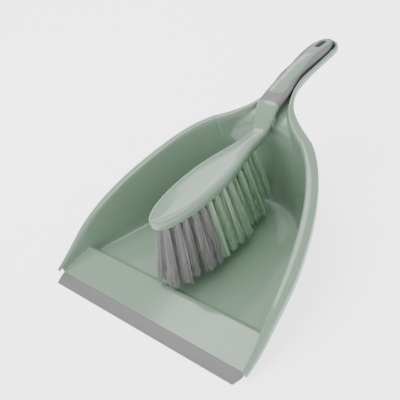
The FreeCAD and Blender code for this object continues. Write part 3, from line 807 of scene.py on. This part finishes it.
@dataclass
class HandBrush:
    """The hand brush: oval head, rising neck and a handle with a soft grip."""

    front: float = 51.5
    neck_root: float = NECK_ROOT
    widest_at: float = 113.0
    head_half: float = 20.6
    top: float = HEAD_TOP
    thickness: float = 11.0
    nose_fall: float = 2.4
    nose_rise: float = 5.0
    nose_reach: float = 7.0
    seam_at: float = SEAM_AT
    tip: float = BRUSH_TIP
    tip_round: float = 22.0
    grip_rise: float = 0.25
    skin: float = 1.4
    slot_at: float = BRUSH_TIP - 15.4
    slot_length: float = 16.0
    slot_width: float = 6.5

    @staticmethod
    def underside(d: float) -> float:
        """Height of the handle's underside."""
        return EDGE_LINE(d) - BELLY(d)

    def half(self, d: float) -> float:
        """Half-width of the head, neck and handle."""
        if d < self.widest_at:
            reach = min(1.0, max(0.0, (d - self.front) / (self.widest_at - self.front)))
            return self.head_half * (1 - (1 - reach) ** 2.25) ** 0.5
        if d < self.neck_root:
            return self.head_half * HEAD_TAIL((d - self.widest_at) / (self.neck_root - self.widest_at))
        return HANDLE_HALF(d) * self.rounding(d)

    def rounding(self, d: float) -> float:
        """The share that the rounded tip leaves of the handle's section."""
        start = self.tip - self.tip_round
        return 1.0 if d <= start else math.sqrt(max(0.0, 1 - ((d - start) / self.tip_round) ** 2))

    @staticmethod
    def oval(d: float, width: float, lift: float, turn: float) -> tuple[float, float]:
        """A point of the handle's squarish oval, `turn` round from its widest line."""
        x = width * abs(math.cos(turn)) ** 0.8
        return x, EDGE_LINE(d) + lift * math.copysign(abs(math.sin(turn)) ** 0.8, turn)

    def section(self, d: float, inset: float = 0.0) -> list[tuple[float, float]]:
        """(x, z) points of the right half of a section, from the top's middle to the bottom's."""
        width = self.half(d) - inset
        rounding = self.rounding(d)
        crown = (CROWN(d) - inset) * rounding
        belly = (BELLY(d) - inset) * rounding
        head = 1 - ease(self.neck_root - 12.0, self.neck_root + 22.0, d)
        points = []
        scale = min(1.0, max(width, 0.0) / 9.0)
        bottom = self.top - self.thickness
        into = d - self.front
        top_fall = self.nose_fall * (1 - math.sqrt(1 - max(0.0, 1 - into / self.nose_fall) ** 2))
        foot_rise = self.nose_rise * (1 - math.sqrt(1 - max(0.0, 1 - into / self.nose_reach) ** 2))
        for kind, share in SECTION_STEPS:
            box_x, box_z = self.head_point(kind, share, width, scale, bottom)
            level = (box_z - bottom) / self.thickness
            box_z += foot_rise * (1 - level) - top_fall * level
            turn = self.handle_turn(kind, share)
            lift = crown if turn > 0 else belly
            round_x, round_z = self.oval(d, width, lift, turn)
            points.append((box_x * head + round_x * (1 - head), box_z * head + round_z * (1 - head)))
        return points

    def head_point(
        self, kind: str, share: float, width: float, scale: float, bottom: float,
    ) -> tuple[float, float]:
        """A point of the head's own section: dished top, raised border, straight side, flat underside."""
        corner = 3.4 * scale
        border = 0.8 * scale
        step = 0.5 * scale
        dish = 0.7 * scale
        inner = max(0.0, width - corner - border - step)
        if kind == "dish":
            return inner * share, self.top - step - dish * (1 - share ** 2)
        if kind == "border":
            return inner + (step + border) * share, self.top - step * (1 - ease(0.0, 0.6, share))
        drop = 4.2 * scale
        if kind == "corner":
            turn = math.radians(90 * share)
            return width - corner * (1 - math.sin(turn)), self.top - drop * (1 - math.cos(turn))
        tuck, low = 2.2 * scale, 2.6 * scale
        if kind == "side":
            lean = 0.6 * tuck * share ** 2
            return width - lean, self.top - drop + (bottom + low - self.top + drop) * share
        if kind == "foot":
            turn = math.radians(90 * share)
            return width - 0.6 * tuck - low * (1 - math.cos(turn)), bottom + low * (1 - math.sin(turn))
        return (width - 0.6 * tuck - low) * (1 - share), bottom

    @staticmethod
    def handle_turn(kind: str, share: float) -> float:
        """The angle round the handle's section that goes with a point of the head's."""
        low, high = TURN_SPANS[kind]
        return math.radians(low + (high - low) * share)

    def places(self) -> list[float]:
        """Where the sections stand, close together at the nose and at the tip."""
        length = 24.0
        nose = [self.front + length * (1 - math.cos(math.radians(90.0 * i / 16))) for i in range(16)]
        span = self.tip - self.tip_round - self.front - length
        run = [self.front + length + span * i / 116 for i in range(117)]
        start = self.tip - self.tip_round
        end = [start + self.tip_round * math.sin(math.radians(90.0 * i / 14)) for i in range(1, 15)]
        return nose + run + end

    def body(self) -> bpy.types.Object:
        """The green moulding, let in under the grip and open at the hanging slot."""
        rows = []
        for d in self.places():
            covered = ease(self.seam_at - 0.2, self.seam_at + 0.4, d)
            inset = covered * self.grip_rise
            rows.append([at(x, d, z) for x, z in self.section(d, inset)])
        piece = bent_grid("brush_moulding", rows)
        weld(piece)
        mirror(piece)
        self.cut_slot(piece)
        return settle(piece, 32.0)

    def grip(self) -> bpy.types.Object:
        """The soft skin of the handle, open on top over the green window."""
        rows = []
        open_from, open_to = self.seam_at + 10.0, self.tip - 3.2
        lead = [self.seam_at + 0.15, self.seam_at + 0.5, self.seam_at + 3.0, self.seam_at + 7.0]
        count = 90
        span = open_to - open_from
        run = [open_from + span * (1 - math.cos(math.pi * i / count)) / 2 for i in range(count + 1)]
        end = [open_to + (self.tip - open_to) * math.sin(math.radians(90 * i / 6)) for i in range(1, 7)]
        for d in lead + run + end:
            rows.append(self.grip_row(d, open_from, open_to))
        piece = bent_grid("handle_skin", rows)
        weld(piece)
        mirror(piece)
        if sum(f.normal.dot(f.center - at(0, 275.0, 106.0)) for f in piece.data.polygons) < 0:
            flip(piece)
        modify(piece, "SOLIDIFY", thickness=0.9 * MM, offset=-1.0)
        crease = math.radians(50)
        modify(piece, "BEVEL", width=0.15 * MM, segments=2, limit_method="ANGLE", angle_limit=crease)
        return settle(piece, 40.0)

    def grip_row(self, d: float, open_from: float, open_to: float) -> list[Vector]:
        """One row of the skin, from the window's edge or the top's middle round to the bottom."""
        rounding = self.rounding(d)
        width = HANDLE_HALF(d) * rounding
        crown, belly = CROWN(d) * rounding, BELLY(d) * rounding
        first = math.pi / 2
        if open_from < d < open_to and width > 0:
            gap = WINDOW((d - self.seam_at) / (self.tip - self.seam_at))
            for near, reach in ((d - open_from, 5.5), (open_to - d, 9.0)):
                if near < reach:
                    gap *= math.sqrt(1 - (1 - near / reach) ** 2)
            first = math.acos(min(1.0, gap / width) ** 1.25)
        count = 30
        row = []
        for i in range(count + 1):
            turn = first + (-math.pi / 2 - first) * i / count
            lift = crown if turn > 0 else belly
            x, z = self.oval(d, width, lift, turn)
            row.append(at(x, d, z))
        return row

    def cut_slot(self, piece: bpy.types.Object) -> None:
        """Cuts the hanging slot with a rounded bar."""
        half = self.slot_width / 2
        cutter = bar(
            "slot_cutter",
            at(-half, self.slot_at - self.slot_length / 2, 90.0),
            at(half, self.slot_at + self.slot_length / 2, 130.0),
            half * MM * 0.98,
        )
        modify(piece, "BOOLEAN", operation="DIFFERENCE", solver="EXACT", object=cutter)
        bpy.data.objects.remove(cutter)

    def build(self) -> None:
        """Builds and dresses the moulding and its grip."""
        present(self.body(), Body.BRUSH, BRUSH_PLASTIC, ["brush_body"])
        present(self.grip(), Body.BRUSH, GRIP_RUBBER, ["handle_grip"])


SECTION_STEPS = (
    [("dish", i / 9) for i in range(9)]
    + [("border", i / 6) for i in range(6)]
    + [("corner", i / 5) for i in range(5)]
    + [("side", i / 4) for i in range(4)]
    + [("foot", i / 3) for i in range(3)]
    + [("under", i / 5) for i in range(6)]
)
TURN_SPANS = {
    "dish": (90.0, 55.0),
    "border": (55.0, 32.0),
    "corner": (32.0, 5.0),
    "side": (5.0, -25.0),
    "foot": (-25.0, -45.0),
    "under": (-45.0, -90.0),
}
EDGE_LINE = smooth([
    (NECK_ROOT - 12.0, HEAD_TOP - 5.5), (NECK_ROOT + 2.0, HEAD_TOP - 4.5),
    (NECK_ROOT + 11.0, HEAD_TOP + 0.10 * RISE), (NECK_ROOT + 20.0, HEAD_TOP + 0.42 * RISE),
    (grip_at(0.01), HEAD_TOP + 0.61 * RISE), (grip_at(0.18), HEAD_TOP + 0.78 * RISE),
    (grip_at(0.37), HEAD_TOP + 0.92 * RISE), (grip_at(0.55), HEAD_TOP + 1.03 * RISE),
    (grip_at(0.73), HEAD_TOP + 1.08 * RISE), (BRUSH_TIP, HEAD_TOP + 1.07 * RISE),
])
CROWN = smooth([
    (NECK_ROOT - 12.0, 5.0), (NECK_ROOT + 12.0, 4.4), (grip_at(0.01), 3.6), (grip_at(0.22), 2.8),
    (BRUSH_TIP, 2.7),
])
BELLY = smooth([
    (NECK_ROOT - 12.0, 6.0), (NECK_ROOT + 2.0, 6.3), (NECK_ROOT + 12.0, 8.0), (grip_at(0.01), 10.0),
    (BRUSH_TIP, 10.4),
])
HANDLE_HALF = smooth([
    (NECK_ROOT - 12.0, 0.735 * GRIP_HALF), (NECK_ROOT + 6.0, 0.75 * GRIP_HALF),
    (NECK_ROOT + 18.0, 1.04 * GRIP_HALF), (grip_at(0.045), 1.08 * GRIP_HALF),
    (grip_at(0.23), 1.02 * GRIP_HALF), (grip_at(0.43), 0.88 * GRIP_HALF),
    (grip_at(0.74), GRIP_HALF), (BRUSH_TIP, GRIP_HALF),
])
HEAD_TAIL = smooth([(0.0, 1.0), (0.147, 0.985), (0.393, 0.859), (0.638, 0.636), (0.883, 0.437), (1.0, 0.412)])
WINDOW = smooth([
    (0.09, 8.4), (0.137, 8.8), (0.20, 9.2), (0.283, 7.0), (0.438, 8.3), (0.603, 6.6), (0.84, 7.6), (1.0, 7.6),
])


@dataclass
class Tufts:
    """The bristles: one bundle of filaments for each tuft hole."""

    strands: int = 84
    radius: float = 2.15
    tip_radius: float = 5.0
    thickness: float = 0.19
    joints: int = 5
    sides: int = 4
    seed: int = 7
    pattern: tuple[list[Vector], list[tuple[int, ...]]] | None = None

    def build(self) -> None:
        """Builds and dresses every tuft, each in the place of its CAD solid."""
        dice = random.Random(self.seed)
        names = sorted(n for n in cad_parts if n.startswith("tuft_gr"))
        for name in names:
            green = "green" in name
            piece = self.bundle(name, dice)
            finish = GREEN_BRISTLE if green else GREY_BRISTLE
            present(piece, Body.BRUSH, finish, [name])

    def axis(self, name: str) -> tuple[Vector, Vector]:
        """The middle of a tuft's top and bottom ends, from its CAD solid."""
        points = [v.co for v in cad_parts[name].data.vertices]
        low, high = min(p.z for p in points), max(p.z for p in points)
        ends = []
        for level in (high, low):
            near = [p for p in points if abs(p.z - level) < 1.6 * MM]
            ends.append(sum(near, Vector()) / len(near))
        return ends[0], ends[1]

    def bundle(self, name: str, dice: random.Random) -> bpy.types.Object:
        """One tuft's filaments, as one mesh with a shade for each strand."""
        head, tip = self.axis(name)
        along = (tip - head).normalized()
        side = along.cross(Vector((0, 1, 0))).normalized()
        front = side.cross(along).normalized()
        pattern, sides = self.filament()
        count = len(pattern)
        spots: list[Vector] = []
        faces: list[tuple[int, ...]] = []
        shades: list[float] = []
        for i in range(self.strands):
            line = self.strand(i, head, tip, side, front, dice)
            shade = dice.random()
            thick = self.thickness * dice.uniform(0.85, 1.15) * MM
            for p in pattern:
                taper = thick * (1 - 0.25 * p.z)
                spots.append(line(p.z) + (side * p.x + front * p.y) * taper)
            faces += [tuple(count * i + k for k in face) for face in sides]
            shades += [shade] * count
        mesh = bpy.data.meshes.new(name.replace("tuft", "bristles"))
        mesh.from_pydata(spots, [], faces)
        mesh.attributes.new("strand", "FLOAT", "POINT").data.foreach_set("value", shades)
        piece = bpy.data.objects.new(mesh.name, mesh)
        bpy.context.scene.collection.objects.link(piece)
        return settle(piece, 60.0)

    def filament(self) -> tuple[list[Vector], list[tuple[int, ...]]]:
        """One straight filament of radius 1 and length 1, cut into short lengths so that it can bend.

        Returns:
            Its points and its faces.
        """
        if not self.pattern:
            deselect()
            middle = (0, 0, 0.5)
            bpy.ops.mesh.primitive_cylinder_add(vertices=self.sides, radius=1.0, depth=1.0, location=middle)
            piece = bpy.context.object
            bpy.ops.object.transform_apply(location=True, rotation=True, scale=True)
            bpy.ops.object.mode_set(mode="EDIT")
            for i in range(1, self.joints):
                bpy.ops.mesh.select_all(action="SELECT")
                bpy.ops.mesh.bisect(plane_co=(0, 0, i / self.joints), plane_no=(0, 0, 1))
            bpy.ops.object.mode_set(mode="OBJECT")
            points = [v.co.copy() for v in piece.data.vertices]
            turned = [tuple(reversed(f.vertices)) for f in piece.data.polygons]
            bpy.data.objects.remove(piece)
            self.pattern = (points, turned)
        return self.pattern

    def strand(
        self, index: int, head: Vector, tip: Vector, side: Vector, front: Vector, dice: random.Random,
    ) -> Callable[[float], Vector]:
        """The bent middle line of one filament.

        Args:
            index: the filament's number in its tuft, which sets its place in the bundle.
            head: the middle of the tuft's top.
            tip: the middle of its trimmed end.
            side: across the tuft.
            front: across the tuft and across `side`.
            dice: the source of the small differences.

        Returns:
            The line as a function of the share of its length.
        """
        turn = index * math.radians(137.508)
        spot = math.sqrt((index + 0.5) / self.strands)
        spread = self.tip_radius * spot * dice.uniform(0.6, 1.35)
        swing = turn + dice.uniform(-0.5, 0.5)
        root = head + (side * math.cos(turn) + front * math.sin(turn)) * self.radius * 0.9 * spot * MM
        end = tip + (side * math.cos(swing) + front * math.sin(swing)) * spread * MM
        end += (tip - head).normalized() * dice.uniform(-4.0, 0.9) * MM
        bow = (side * dice.uniform(-1, 1) + front * dice.uniform(-1, 1)) * 1.5 * MM
        return lambda share: root.lerp(end, share) + bow * math.sin(math.pi * share)


def dress_anchors() -> None:
    """Gives the tufts' steel anchors their wire finish."""
    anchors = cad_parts["tuft_anchors"]
    anchors.data.materials.clear()
    anchors.data.materials.append(ANCHOR_STEEL.material())


# ---- studio -------------------------------------------------------------------------------------------


@dataclass
class Studio:
    """A pale ground, soft light and the camera."""

    azimuth: float = 51.0
    elevation: float = 36.8
    roll: float = -15.5
    distance: float = 660.0
    lens: float = 63.0
    aim: tuple[float, float, float] = (0.0, 130.0, 30.0)
    slide: tuple[float, float] = (-21.0, 15.0)

    def ground(self) -> None:
        """A wide, flat, plain ground."""
        deselect()
        bpy.ops.mesh.primitive_plane_add(size=12.0)
        piece = bpy.context.object
        piece.name = "ground"
        piece.data.materials.append(GROUND.material())

    def camera(self) -> None:
        """The camera, rolled about its line of sight."""
        a, e, r = (math.radians(v) for v in (self.azimuth, self.elevation, self.roll))
        back = Vector((math.sin(a) * math.cos(e), -math.cos(a) * math.cos(e), math.sin(e)))
        right = (-back).cross(Vector((0, 0, 1))).normalized()
        up = right.cross(-back)
        across = right * math.cos(r) + up * math.sin(r)
        upward = up * math.cos(r) - right * math.sin(r)
        place = at(*self.aim) + (across * self.slide[0] + upward * self.slide[1] + back * self.distance) * MM
        lens = bpy.data.cameras.new("camera")
        lens.lens = self.lens
        lens.sensor_width = 36.0
        lens.clip_start = 0.01
        camera = bpy.data.objects.new("camera", lens)
        bpy.context.scene.collection.objects.link(camera)
        turn = Matrix((across, upward, back)).transposed().to_4x4()
        camera.matrix_world = Matrix.Translation(place) @ turn
        bpy.context.scene.camera = camera

    def soft_box(
        self, name: str, place: tuple[float, float, float], size: tuple[float, float], power: float,
    ) -> None:
        """A rectangular area light, level when it hangs high, else turned to the set."""
        light = bpy.data.lights.new(name, "AREA")
        light.shape = "RECTANGLE"
        light.size, light.size_y = size
        light.energy = power
        lamp = bpy.data.objects.new(name, light)
        bpy.context.scene.collection.objects.link(lamp)
        lamp.location = place
        if place[2] < 1.0:
            lamp.rotation_euler = (-Vector(place)).to_track_quat("-Z", "Y").to_euler()

    def lights(self) -> None:
        """A white sky, an overhead soft box, one behind on the left and a low fill from the right."""
        world = bpy.data.worlds.new("studio")
        bpy.context.scene.world = world
        world.use_nodes = True
        sky = next(n for n in world.node_tree.nodes if n.type == "BACKGROUND")
        sky.inputs["Color"].default_value = (1.0, 1.0, 1.0, 1.0)
        sky.inputs["Strength"].default_value = 1.27
        self.soft_box("overhead", (-0.42, 0.0, 1.25), (1.05, 0.9), 19.0)
        self.soft_box("rear_bank", (-1.45, 1.12, 1.25), (0.9, 0.6), 6.0)
        self.soft_box("right_fill", (1.3, -0.9, 0.9), (0.8, 0.8), 3.0)

    def build(self) -> None:
        """Builds the studio."""
        self.ground()
        self.camera()
        self.lights()


def main() -> None:
    """Builds the set, piece by piece."""
    logging.basicConfig(level=logging.INFO, format="%(message)s")
    DustPan().build()
    RubberLip().build()
    HandBrush().build()
    Tufts().build()
    dress_anchors()
    Studio().build()


if __name__ == "__main__":
    main()
